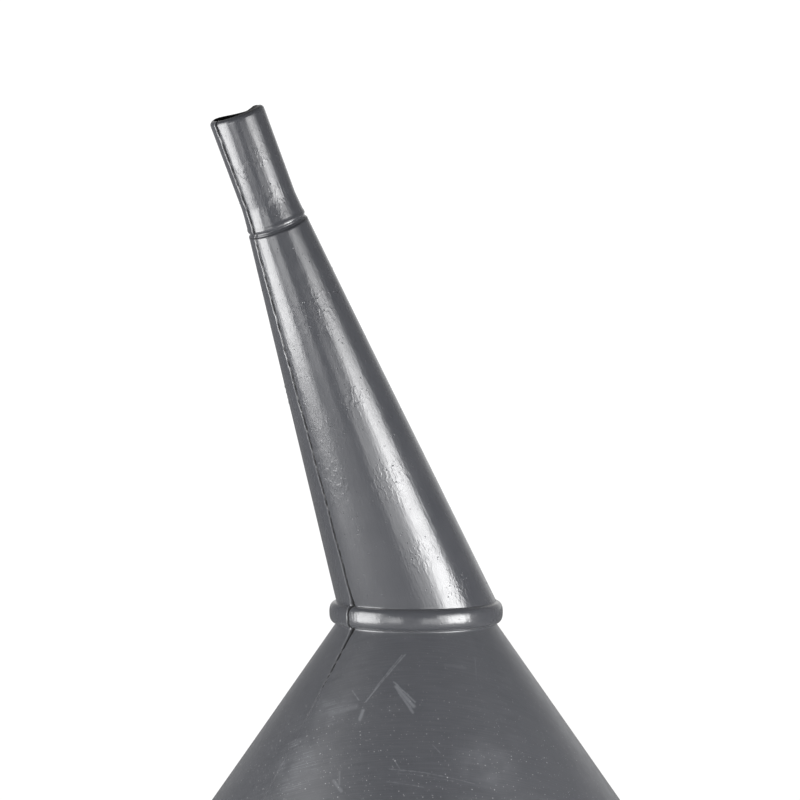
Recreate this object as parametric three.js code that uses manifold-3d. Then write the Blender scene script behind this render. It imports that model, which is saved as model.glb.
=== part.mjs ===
// Slant-spout fuel funnel, standing mouth-down with its spout up.
// Millimetres, +Z up. The mouth's flange rests on z = 0 and the bowl's axis is the Z axis.
// The spout leans towards -X, in the XZ plane.
import * as THREE from 'three';
import { mergeVertices } from 'three/addons/utils/BufferGeometryUtils.js';
import Module from 'manifold-3d';

const wasm = await Module();
wasm.setup();

// Driving dimensions of the moulding.
const MOUTH_FLANGE_RADIUS = 120;
const MOUTH_FLANGE_THICKNESS = 2.6;
const BAND_RADIUS = 111;
const BAND_HEIGHT = 20;
const CONE_HALF_ANGLE = THREE.MathUtils.degToRad(35);
const NECK_RADIUS = 30.5;
const BEAD_RADIUS = 33.1;
const BEAD_HEIGHT = 8.6;
const SPOUT_LEAN = THREE.MathUtils.degToRad(25);
const SPOUT_LENGTH = 155;
const COLLAR_RADIUS = 11.1;
const TIP_LENGTH = 43;
const TIP_RADIUS = 10;
const TIP_FLARE_LENGTH = 9.2;
const TIP_FLARE_RADIUS = 10.9;
const COLLAR_NOTCH_RADIUS = 10.45;
const BOWL_WALL = 2;
const SPOUT_WALL = 1.8;
const HANGING_HOLE_RADIUS = 2.6;
const BODY_SEGMENTS = 48;

// Driving dimensions of the strainer.
const FIT_GAP = 0.3;
const SPIGOT_LENGTH = 8;
const SPIGOT_WALL = 2;
const SKIRT_DROP = 8.4;
const SEAT_DEPTH = 2.3;
const SEAT_WIDTH = 3.2;
const GAUZE_THICKNESS = 0.5;
const RETAINER_THICKNESS = 2.6;
const RETAINER_LIP = 1;
const RIB_COUNT = 6;
const RIB_WIDTH = 1.4;
const RIB_HEIGHT = 3.4;
const HUB_RADIUS = 5;
const LUG_SIZE = [8, 4, 6.8];
const BAIL_WIRE_RADIUS = 1;
const BAIL_HOLE_RADIUS = 1.3;
const BAIL_ARCH_RADIUS = 26;
const BAIL_LEG = 9;
const BAIL_BEND_RADIUS = 2.5;

// Heights and radii that follow from them.
const CONE_SLOPE = Math.tan(CONE_HALF_ANGLE);
const NECK_Z = BAND_HEIGHT + (BAND_RADIUS - NECK_RADIUS) / CONE_SLOPE;
const SPOUT_BASE_Z = NECK_Z + BEAD_HEIGHT;
const THROAT_RADIUS = NECK_RADIUS - BOWL_WALL - 0.2;
const CONE_WALL_ACROSS = BOWL_WALL / Math.cos(CONE_HALF_ANGLE);
const innerConeRadius = (z) => NECK_RADIUS - CONE_WALL_ACROSS + (NECK_Z - z) * CONE_SLOPE;
const innerConeHeight = (radius) => NECK_Z - (radius - NECK_RADIUS + CONE_WALL_ACROSS) / CONE_SLOPE;

// A ring is an ellipse in a plane that leans about Y: its centre, its in-plane X vector and its Y radius.
function ring(centreX, centreZ, lean, radius) {
  return {
    cx: centreX,
    cz: centreZ,
    ux: radius * Math.cos(lean),
    uz: radius * Math.sin(lean),
    ry: radius,
  };
}

const bowlRing = (radius, z) => ring(0, z, 0, radius);

function spoutRing(radius, along) {
  const x = -along * Math.sin(SPOUT_LEAN);
  const z = SPOUT_BASE_Z + along * Math.cos(SPOUT_LEAN);
  return ring(x, z, SPOUT_LEAN, radius);
}

// Rings spaced along the straight lines from one ring to another, without the first ring.
function ruled(from, to, count) {
  return Array.from({ length: count }, (_, i) => {
    const t = (i + 1) / count;
    return Object.fromEntries(
      Object.keys(from).map((key) => [key, from[key] + (to[key] - from[key]) * t]),
    );
  });
}

// Rings of the half-ellipse bead between two heights, without its end rings.
function beadRings(neckRadius, beadRadius, lowZ, highZ, count) {
  return Array.from({ length: count }, (_, i) => {
    const angle = (Math.PI * (i + 1)) / (count + 1);
    const z = (lowZ + highZ) / 2 - ((highZ - lowZ) / 2) * Math.cos(angle);
    return bowlRing(neckRadius + (beadRadius - neckRadius) * Math.sin(angle), z);
  });
}

// Rings round an edge of the given radius, centred at (radius, at), from one angle to another.
function roundedEdge(makeRing, radius, at, edge, fromAngle, toAngle, count) {
  return Array.from({ length: count + 1 }, (_, i) => {
    const angle = fromAngle + ((toAngle - fromAngle) * i) / count;
    return makeRing(radius + edge * Math.cos(angle), at + edge * Math.sin(angle));
  });
}

// A closed shell: rings of points joined in order, and the last ring joined to the first.
function ringShell(rings, segments) {
  const positions = [];
  for (const { cx, cz, ux, uz, ry } of rings) {
    for (let j = 0; j < segments; j++) {
      const angle = (2 * Math.PI * j) / segments;
      const cos = Math.cos(angle);
      positions.push(cx + ux * cos, ry * Math.sin(angle), cz + uz * cos);
    }
  }
  const index = [];
  for (let i = 0; i < rings.length; i++) {
    const next = (i + 1) % rings.length;
    for (let j = 0; j < segments; j++) {
      const a = i * segments + j;
      const b = i * segments + ((j + 1) % segments);
      const c = next * segments + ((j + 1) % segments);
      const d = next * segments + j;
      index.push(a, b, c, a, c, d);
    }
  }
  const geometry = new THREE.BufferGeometry();
  geometry.setAttribute('position', new THREE.Float32BufferAttribute(positions, 3));
  geometry.setIndex(index);
  return geometry;
}

function toSolid(geometry) {
  const bare = geometry.clone();
  bare.deleteAttribute('normal');
  bare.deleteAttribute('uv');
  const merged = mergeVertices(bare, 1e-4);
  return new wasm.Manifold(
    new wasm.Mesh({
      numProp: 3,
      vertProperties: new Float32Array(merged.attributes.position.array),
      triVerts: new Uint32Array(merged.index.array),
    }),
  );
}

function fromSolid(solid) {
  const { vertProperties, triVerts } = solid.getMesh();
  const geometry = new THREE.BufferGeometry();
  geometry.setAttribute('position', new THREE.BufferAttribute(vertProperties, 3));
  geometry.setIndex(new THREE.BufferAttribute(triVerts, 1));
  return geometry;
}

// A cylinder between two heights on the Z axis, moved to (x, y).
function postGeometry(radius, lowZ, highZ, x, y, sides) {
  const post = new THREE.CylinderGeometry(radius, radius, highZ - lowZ, sides);
  return post.rotateX(Math.PI / 2).translate(x, y, (lowZ + highZ) / 2);
}

function boxGeometry([sizeX, sizeY, sizeZ], x, y, z) {
  return new THREE.BoxGeometry(sizeX, sizeY, sizeZ).translate(x, y, z);
}

// A ring turned about Z from [radius, height] corners, listed upwards on the outside.
const latheRing = (corners) =>
  ringShell(
    corners.map(([radius, z]) => bowlRing(radius, z)),
    BODY_SEGMENTS,
  );

// Bowl, bead, spout and tip in one moulding: up the outside, over the tip's rim and down the inside.
function funnelBodyGeometry() {
  const outside = [
    bowlRing(MOUTH_FLANGE_RADIUS, 0),
    bowlRing(MOUTH_FLANGE_RADIUS, MOUTH_FLANGE_THICKNESS),
    bowlRing(BAND_RADIUS + 1.2, MOUTH_FLANGE_THICKNESS),
    bowlRing(BAND_RADIUS + 0.2, MOUTH_FLANGE_THICKNESS + 1.2),
    ...roundedEdge(bowlRing, BAND_RADIUS - 5, BAND_HEIGHT - 3, 5, 0, CONE_HALF_ANGLE, 3),
    bowlRing(NECK_RADIUS + 40, NECK_Z - 40 / CONE_SLOPE),
    bowlRing(NECK_RADIUS, NECK_Z),
    ...beadRings(NECK_RADIUS, BEAD_RADIUS, NECK_Z + 0.3, SPOUT_BASE_Z - 0.3, 7),
  ];
  const base = bowlRing(NECK_RADIUS, SPOUT_BASE_Z);
  const collar = spoutRing(COLLAR_RADIUS, SPOUT_LENGTH - 0.8);
  const rim = SPOUT_LENGTH + TIP_LENGTH;
  const tipEdge = 0.7;
  const spout = [
    base,
    ...ruled(base, collar, 8),
    spoutRing(COLLAR_NOTCH_RADIUS, SPOUT_LENGTH - 0.1),
    spoutRing(COLLAR_NOTCH_RADIUS, SPOUT_LENGTH + 0.3),
    spoutRing(TIP_FLARE_RADIUS, SPOUT_LENGTH + 1),
    spoutRing(TIP_RADIUS, SPOUT_LENGTH + TIP_FLARE_LENGTH),
    ...roundedEdge(spoutRing, TIP_RADIUS - tipEdge, rim - tipEdge, tipEdge, 0, Math.PI / 2, 3),
  ];
  const innerBase = bowlRing(THROAT_RADIUS, SPOUT_BASE_Z + 0.6);
  const innerCollar = spoutRing(COLLAR_RADIUS - SPOUT_WALL, SPOUT_LENGTH);
  const inside = [
    spoutRing(TIP_RADIUS - SPOUT_WALL, rim),
    spoutRing(TIP_RADIUS - SPOUT_WALL, SPOUT_LENGTH + TIP_FLARE_LENGTH),
    innerCollar,
    ...ruled(innerCollar, innerBase, 8),
    ...beadRings(THROAT_RADIUS, BEAD_RADIUS - BOWL_WALL, NECK_Z + 1.4, SPOUT_BASE_Z - 0.8, 3).reverse(),
    bowlRing(THROAT_RADIUS, NECK_Z + 0.6),
    bowlRing(THROAT_RADIUS, innerConeHeight(THROAT_RADIUS)),
    bowlRing(innerConeRadius(NECK_Z - 40 / CONE_SLOPE), NECK_Z - 40 / CONE_SLOPE),
    bowlRing(innerConeRadius(BAND_HEIGHT), BAND_HEIGHT),
    bowlRing(BAND_RADIUS - BOWL_WALL, BAND_HEIGHT - 3.5),
    bowlRing(BAND_RADIUS - BOWL_WALL, 0),
  ];
  const shell = toSolid(ringShell([...outside, ...spout, ...inside], BODY_SEGMENTS));
  const holeX = (MOUTH_FLANGE_RADIUS + BAND_RADIUS + 1.2) / 2;
  const hole = toSolid(postGeometry(HANGING_HOLE_RADIUS, -1, MOUTH_FLANGE_THICKNESS + 1, holeX, 0, 16));
  return fromSolid(shell.subtract(hole));
}

// Heights and radii of the strainer, from the throat down into the bowl.
const SPIGOT_RADIUS = THROAT_RADIUS - FIT_GAP;
const SEAT_STEP_Z = NECK_Z - SKIRT_DROP;
const SEAT_Z = SEAT_STEP_Z - SEAT_DEPTH;
const SKIRT_RADIUS = innerConeRadius(SEAT_STEP_Z) - 1.5 * FIT_GAP;
const LIP_INNER_RADIUS = SKIRT_RADIUS - RETAINER_LIP;
const SEAT_RADIUS = LIP_INNER_RADIUS - FIT_GAP;
const OPEN_RADIUS = SEAT_RADIUS - SEAT_WIDTH;
const GAUZE_TOP_Z = SEAT_Z - FIT_GAP;
const RETAINER_TOP_Z = GAUZE_TOP_Z - GAUZE_THICKNESS - FIT_GAP;
const RETAINER_BASE_Z = RETAINER_TOP_Z - RETAINER_THICKNESS;
const RETAINER_RADIUS = innerConeRadius(RETAINER_TOP_Z) - 2 * FIT_GAP;
const BAIL_PIVOT_Z = RETAINER_BASE_Z - LUG_SIZE[2] / 2 - 0.4;
const LUG_Y = OPEN_RADIUS + LUG_SIZE[1] / 2 + 0.6;

// Spigot in the throat, skirt on the cone, and ribs that carry the gauze.
function strainerFrameGeometry() {
  const spigotTop = NECK_Z + SPIGOT_LENGTH;
  const ringSolid = toSolid(
    latheRing([
      [OPEN_RADIUS, SEAT_Z],
      [SEAT_RADIUS, SEAT_Z],
      [SEAT_RADIUS, SEAT_STEP_Z],
      [SKIRT_RADIUS, SEAT_STEP_Z],
      [SPIGOT_RADIUS, innerConeHeight(SPIGOT_RADIUS + 1.5 * FIT_GAP)],
      [SPIGOT_RADIUS, spigotTop - 0.8],
      [SPIGOT_RADIUS - 0.6, spigotTop],
      [SPIGOT_RADIUS - SPIGOT_WALL, spigotTop],
      [SPIGOT_RADIUS - SPIGOT_WALL, NECK_Z - 2.2],
      [OPEN_RADIUS, NECK_Z - 7],
    ]),
  );
  const ribMidZ = SEAT_Z + RIB_HEIGHT / 2;
  const ribReach = OPEN_RADIUS + 1;
  let solid = ringSolid.add(toSolid(postGeometry(HUB_RADIUS, SEAT_Z, SEAT_Z + RIB_HEIGHT, 0, 0, 24)));
  for (let i = 0; i < RIB_COUNT; i++) {
    const rib = boxGeometry([ribReach - 2, RIB_WIDTH, RIB_HEIGHT], (ribReach + 2) / 2, 0, ribMidZ);
    rib.rotateZ((2 * Math.PI * i) / RIB_COUNT);
    solid = solid.add(toSolid(rib));
  }
  return fromSolid(solid);
}

// Woven wire disc as one plain disc of its outer size.
function strainerGauzeGeometry() {
  const radius = SEAT_RADIUS - FIT_GAP;
  const disc = new THREE.CylinderGeometry(radius, radius, GAUZE_THICKNESS, BODY_SEGMENTS);
  return disc.rotateX(Math.PI / 2).translate(0, 0, GAUZE_TOP_Z - GAUZE_THICKNESS / 2);
}

// Cap ring round the frame's foot, with a lug at each end of the bail.
function strainerRetainerGeometry() {
  const lipTop = SEAT_STEP_Z - FIT_GAP;
  let solid = toSolid(
    latheRing([
      [OPEN_RADIUS, RETAINER_BASE_Z],
      [RETAINER_RADIUS, RETAINER_BASE_Z],
      [RETAINER_RADIUS, RETAINER_TOP_Z - 0.5],
      [SKIRT_RADIUS, RETAINER_TOP_Z + 0.4],
      [SKIRT_RADIUS, lipTop],
      [LIP_INNER_RADIUS, lipTop],
      [LIP_INNER_RADIUS, RETAINER_TOP_Z],
      [OPEN_RADIUS, RETAINER_TOP_Z],
    ]),
  );
  for (const side of [-1, 1]) {
    const lugZ = RETAINER_BASE_Z - LUG_SIZE[2] / 2 + 0.5;
    const lug = toSolid(boxGeometry([LUG_SIZE[0], LUG_SIZE[1], LUG_SIZE[2] + 1], 0, side * LUG_Y, lugZ));
    const hole = new THREE.CylinderGeometry(BAIL_HOLE_RADIUS, BAIL_HOLE_RADIUS, LUG_SIZE[1] + 2, 16);
    hole.translate(0, side * LUG_Y, BAIL_PIVOT_Z);
    solid = solid.add(lug).subtract(toSolid(hole));
  }
  return fromSolid(solid);
}

// Wire handle: a pin through each lug, a bend, a leg and the arch between the legs.
function strainerBailGeometry() {
  const pinEnd = LUG_Y + LUG_SIZE[1] / 2 + 0.8;
  const archZ = BAIL_PIVOT_Z - BAIL_LEG;
  const bendZ = BAIL_PIVOT_Z - BAIL_BEND_RADIUS;
  const bendY = BAIL_ARCH_RADIUS + BAIL_BEND_RADIUS;
  const line = new THREE.Path();
  line.moveTo(pinEnd, BAIL_PIVOT_Z);
  line.lineTo(bendY, BAIL_PIVOT_Z);
  line.absarc(bendY, bendZ, BAIL_BEND_RADIUS, Math.PI / 2, Math.PI, false);
  line.absarc(0, archZ, BAIL_ARCH_RADIUS, 0, -Math.PI, true);
  line.absarc(-bendY, bendZ, BAIL_BEND_RADIUS, 0, Math.PI / 2, false);
  line.lineTo(-pinEnd, BAIL_PIVOT_Z);
  const points = line.getSpacedPoints(72).map(({ x, y }) => new THREE.Vector3(0, x, y));
  const section = new THREE.Shape();
  section.absarc(0, 0, BAIL_WIRE_RADIUS, 0, 2 * Math.PI, false);
  return new THREE.ExtrudeGeometry(section, {
    extrudePath: new THREE.CatmullRomCurve3(points),
    steps: 72,
    curveSegments: 4,
    bevelEnabled: false,
  });
}

const greyMoulding = new THREE.MeshStandardMaterial({ color: 0x5a5b60, roughness: 0.38, metalness: 0 });
const blackMoulding = new THREE.MeshStandardMaterial({ color: 0x1c1d1f, roughness: 0.45, metalness: 0 });
const brassWire = new THREE.MeshStandardMaterial({ color: 0xb08d3e, roughness: 0.35, metalness: 1 });
const steelWire = new THREE.MeshStandardMaterial({ color: 0xb8babd, roughness: 0.25, metalness: 1 });

function namedMesh(name, geometry, material) {
  const mesh = new THREE.Mesh(geometry, material);
  mesh.name = name;
  return mesh;
}

const group = new THREE.Group();
group.add(
  namedMesh('funnel_body', funnelBodyGeometry(), greyMoulding),
  namedMesh('strainer_frame', strainerFrameGeometry(), blackMoulding),
  namedMesh('strainer_gauze', strainerGauzeGeometry(), brassWire),
  namedMesh('strainer_retainer_ring', strainerRetainerGeometry(), blackMoulding),
  namedMesh('strainer_bail', strainerBailGeometry(), steelWire),
);

export default group;
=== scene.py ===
"""Slant-spout fuel funnel with a lift-out strainer: fine meshes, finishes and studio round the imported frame.

Metres, +Z up, the mouth's flange on z = 0. The spout leans towards -X, with the mould's seam in the XZ plane.
"""

import math

import bmesh
import bpy
import numpy as np
from mathutils import Euler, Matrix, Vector


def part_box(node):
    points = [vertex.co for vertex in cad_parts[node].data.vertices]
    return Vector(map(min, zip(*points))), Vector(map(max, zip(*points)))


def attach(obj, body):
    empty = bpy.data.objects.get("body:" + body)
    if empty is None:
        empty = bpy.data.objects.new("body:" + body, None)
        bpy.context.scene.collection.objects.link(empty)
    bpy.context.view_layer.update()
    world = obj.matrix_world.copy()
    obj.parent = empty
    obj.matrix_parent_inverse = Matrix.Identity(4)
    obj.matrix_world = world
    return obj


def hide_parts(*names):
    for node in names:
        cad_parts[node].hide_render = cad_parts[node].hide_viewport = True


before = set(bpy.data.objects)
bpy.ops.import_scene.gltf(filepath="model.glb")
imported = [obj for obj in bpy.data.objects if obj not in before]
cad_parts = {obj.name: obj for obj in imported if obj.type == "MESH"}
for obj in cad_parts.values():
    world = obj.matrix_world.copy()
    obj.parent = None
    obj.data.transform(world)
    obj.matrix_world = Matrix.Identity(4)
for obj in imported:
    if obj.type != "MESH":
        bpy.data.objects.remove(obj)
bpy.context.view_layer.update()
MM = 0.001

# Driving dimensions of the moulding: the part's own, but for a tip 0.1 mm fuller with a rounder edge.
FLANGE_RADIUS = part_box("funnel_body")[1].x
FLANGE_THICKNESS = 2.6 * MM
BAND_RADIUS = 111 * MM
BAND_HEIGHT = 20 * MM
SHOULDER_RADIUS = 5 * MM
CONE_ANGLE = math.radians(35)
CONE_SLOPE = math.tan(CONE_ANGLE)
NECK_RADIUS = 30.5 * MM
NECK_HEIGHT = BAND_HEIGHT + (BAND_RADIUS - NECK_RADIUS) / CONE_SLOPE
BEAD_RADIUS = 33.1 * MM
BEAD_HEIGHT = 8.6 * MM
BEAD_SQUARENESS = 0.8
SPOUT_BASE = NECK_HEIGHT + BEAD_HEIGHT
LEAN = math.radians(25)
SPOUT_LENGTH = 155 * MM
COLLAR_RADIUS = 11.1 * MM
TIP_LENGTH = 43 * MM
TIP_RADIUS = 10.1 * MM
TIP_EDGE = 1.6 * MM
TIP_FLARE_LENGTH = 9.4 * MM
TIP_FLARE_RADIUS = 10.98 * MM
RIM_ALONG = SPOUT_LENGTH + TIP_LENGTH
BOWL_WALL = 2 * MM
SPOUT_WALL = 1.8 * MM
THROAT_RADIUS = NECK_RADIUS - BOWL_WALL - 0.2 * MM
HANGING_HOLE_RADIUS = 2.6 * MM

# The strainer's sizes: the outer ones from its packed boxes, the rest the part's own, and its weave.
SPIGOT_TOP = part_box("strainer_frame")[1].z
SEAT_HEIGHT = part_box("strainer_frame")[0].z
SKIRT_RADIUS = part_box("strainer_frame")[1].x
SPIGOT_RADIUS = THROAT_RADIUS - 0.3 * MM
SEAT_RADIUS = SKIRT_RADIUS - 1.3 * MM
OPEN_RADIUS = SEAT_RADIUS - 3.2 * MM
STEP_HEIGHT = SEAT_HEIGHT + 2.3 * MM
GAUZE_LOW, GAUZE_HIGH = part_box("strainer_gauze")
RETAINER_LOW, RETAINER_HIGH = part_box("strainer_retainer_ring")
BAIL_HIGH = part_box("strainer_bail")[1]
BAIL_WIRE = BAIL_HIGH.x
BAIL_PIVOT = BAIL_HIGH.z - BAIL_WIRE
BAIL_ARCH_RADIUS = 26 * MM
BAIL_LEG = 9 * MM
BAIL_BEND_RADIUS = 2.5 * MM
GAUZE_PITCH = 1.25 * MM
GAUZE_WIRE = 0.12 * MM
RIB_COUNT = 6
RIB_WIDTH = 1.4 * MM
RIB_HEIGHT = 3.4 * MM
HUB_RADIUS = 5 * MM
LUG_LENGTH = 8 * MM
LUG_DROP = 6.8 * MM
BAIL_HOLE_RADIUS = 1.3 * MM
LUG_THICKNESS = 4 * MM
LUG_MIDDLE = OPEN_RADIUS + LUG_THICKNESS / 2 + 0.6 * MM

SPOUT_AXIS = Vector((-math.sin(LEAN), 0, math.cos(LEAN)))

# The camera looks at the neck from the spout's side, a little above the bowl.
CAMERA_AZIMUTH = math.radians(-39.87)
CAMERA_DISTANCE = 0.81
CAMERA_HEIGHT = NECK_HEIGHT + BEAD_HEIGHT / 2 + 91.5 * MM
CAMERA_PITCH = math.radians(0.76)
CAMERA_YAW = math.radians(0.436)
CAMERA_LENS = 95.49

TOWARDS_CAMERA = Vector((math.sin(CAMERA_AZIMUTH), -math.cos(CAMERA_AZIMUTH), 0))
CAMERA_RIGHT = Vector((math.cos(CAMERA_AZIMUTH), math.sin(CAMERA_AZIMUTH), 0))


def add_camera():
    data = bpy.data.cameras.new("camera")
    data.lens = CAMERA_LENS
    data.sensor_width = 36
    data.clip_start = 0.01
    camera = bpy.data.objects.new("camera", data)
    camera.location = TOWARDS_CAMERA * CAMERA_DISTANCE + Vector((0, 0, CAMERA_HEIGHT))
    camera.rotation_euler = Euler((math.pi / 2 - CAMERA_PITCH, 0, CAMERA_AZIMUTH + CAMERA_YAW))
    bpy.context.collection.objects.link(camera)
    bpy.context.scene.camera = camera


add_camera()


# ---------------------------------------------------------------- rings and shells


def ring(centre_x, centre_z, lean, radius):
    """An ellipse in a plane that leans about Y: centre x and z, in-plane X vector's x and z, Y radius."""
    return np.array([centre_x, centre_z, radius * math.cos(lean), radius * math.sin(lean), radius])


def bowl_ring(radius, height):
    return ring(0, height, 0, radius)


def spout_ring(radius, along):
    return ring(along * SPOUT_AXIS.x, SPOUT_BASE + along * SPOUT_AXIS.z, LEAN, radius)


def ruled(start, end, count):
    """Rings along the straight lines between two rings, with both ends."""
    return [start + (end - start) * t for t in np.linspace(0, 1, count)]


def arc(make_ring, radius, height, turn, start, end, count):
    """Rings round a circular edge centred at (radius, height)."""
    angles = np.linspace(math.radians(start), math.radians(end), count)
    return [make_ring(radius + turn * math.cos(a), height + turn * math.sin(a)) for a in angles]


def smooth_step(value, low, high):
    share = np.clip((value - low) / (high - low), 0, 1)
    return share * share * (3 - 2 * share)


def smooth_noise(positions, spacing, seed):
    """A smooth random line through values in -1..1 that are spacing apart."""
    values = np.random.default_rng(seed).uniform(-1, 1, 4096)
    cell = np.asarray(positions) / spacing
    low = np.floor(cell).astype(int)
    share = cell - low
    share = share * share * (3 - 2 * share)
    return values[low % 4096] * (1 - share) + values[(low + 1) % 4096] * share


def new_piece(name, vertices, faces):
    mesh = bpy.data.meshes.new(name)
    mesh.from_pydata([tuple(v) for v in vertices], [], faces)
    if faces:
        shape = bmesh.new()
        shape.from_mesh(mesh)
        bmesh.ops.recalc_face_normals(shape, faces=shape.faces)
        shape.to_mesh(mesh)
        shape.free()
    mesh.shade_smooth()
    piece = bpy.data.objects.new(name, mesh)
    bpy.context.collection.objects.link(piece)
    return piece


def shell_faces(rows, columns, closed=True):
    """Quads between rings joined in order, with the last ring joined to the first on a closed shell."""
    faces = []
    for i in range(rows if closed else rows - 1):
        below, above = i * columns, ((i + 1) % rows) * columns
        for j in range(columns):
            k = (j + 1) % columns
            faces.append((below + j, below + k, above + k, above + j))
    return faces


def settle(piece):
    """Turns what the piece's modifiers make into its plain mesh."""
    made = piece.evaluated_get(bpy.context.evaluated_depsgraph_get())
    mesh = bpy.data.meshes.new_from_object(made)
    piece.modifiers.clear()
    piece.data = mesh
    mesh.name = piece.name
    return piece


def combine(piece, other, operation):
    """Joins another closed solid to the piece, or cuts it away, and drops the other."""
    modifier = piece.modifiers.new("combine", "BOOLEAN")
    modifier.operation = operation
    modifier.solver = "MANIFOLD"
    modifier.object = other
    settle(piece)
    bpy.data.objects.remove(other)


def join_meshes(piece, other):
    """Adds another piece's mesh to this one's, and drops the other."""
    with bpy.context.temp_override(active_object=piece, selected_editable_objects=[piece, other]):
        bpy.ops.object.join()


def soften_edges(piece, angle):
    """Shades smooth, with sharp edges where faces meet at more than the angle."""
    piece.data.shade_smooth()
    piece.data.set_sharp_from_angle(angle=math.radians(angle))


# ---------------------------------------------------------------- the moulding


SEAM_OFFSETS = np.array([0, 0.1, 0.2, 0.3, 0.42, 0.55, 0.7, 0.9, 1.15, 1.5, 2.0]) * MM
SEAM_COLUMNS = np.concatenate([-SEAM_OFFSETS[:0:-1], SEAM_OFFSETS])
PLAIN_COLUMNS = 66
SEAM_DEPTH = 0.8 * MM
LIP_SHARE = 0.08
FAINT_SEAM = 0.13
SEAM_LINE_WIDTH = 0.42
FAINT_LINE_WIDTH = 0.3
RIM_DIP = 1.7 * MM
RIM_SAG = 0.42 * MM
RIM_REACH = 5 * MM

# The notch between spout and tip, in millimetres: how far it is cut in, and how far past the collar.
COLLAR_SIDE = [(0.06, -0.9), (0.16, -0.55), (0.36, -0.25), (0.7, 0.1), (0.72, 0.35)]
TIP_SIDE = [(0.26, 0.6), (0.06, 0.95), (0.02, 1.4), (0.1, 2.0)]


def fading(distance, reach):
    """A share that is 1 at no distance and dies out past the reach."""
    return math.exp(-((distance / reach) ** 2))


def column_angles(radius, wander):
    """The angles of one ring's points: close together at the two seams, and even between them."""
    half = math.pi - 2 * SEAM_OFFSETS[-1] / radius
    between = SEAM_OFFSETS[-1] / radius + half * np.arange(1, PLAIN_COLUMNS + 1) / (PLAIN_COLUMNS + 1)
    front = math.pi + (SEAM_COLUMNS + wander[0]) / radius
    rear = (SEAM_COLUMNS + wander[1]) / radius
    return np.concatenate([front, math.pi + between, 2 * math.pi + rear, 2 * math.pi + between])


def seam_section(width):
    """Across the seam: the crack's share of its depth, and the raised lip's, which is higher on one side."""
    crack = np.exp(-((SEAM_COLUMNS / width) ** 2))
    lips = np.exp(-(((np.abs(SEAM_COLUMNS) - 1.9 * width) / (0.75 * width)) ** 2))
    return crack, lips * np.where(SEAM_COLUMNS < 0, 1.0, 0.45)


def cone_ring(drop):
    """The bowl's outer cone, at a distance below the neck along Z."""
    return bowl_ring(NECK_RADIUS + drop * CONE_SLOPE, NECK_HEIGHT - drop)


def bead_rings(count):
    """The bead from its lower groove to its upper one: a half ellipse with full shoulders."""
    rings = []
    for angle in np.linspace(-math.pi / 2, math.pi / 2, count):
        rise = (BEAD_RADIUS - NECK_RADIUS) * abs(math.cos(angle)) ** BEAD_SQUARENESS
        share = math.copysign(abs(math.sin(angle)) ** BEAD_SQUARENESS, angle)
        height = NECK_HEIGHT + BEAD_HEIGHT / 2 + (BEAD_HEIGHT / 2 - 0.3 * MM) * share
        rings.append(bowl_ring(NECK_RADIUS + rise, height))
    return rings


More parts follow.
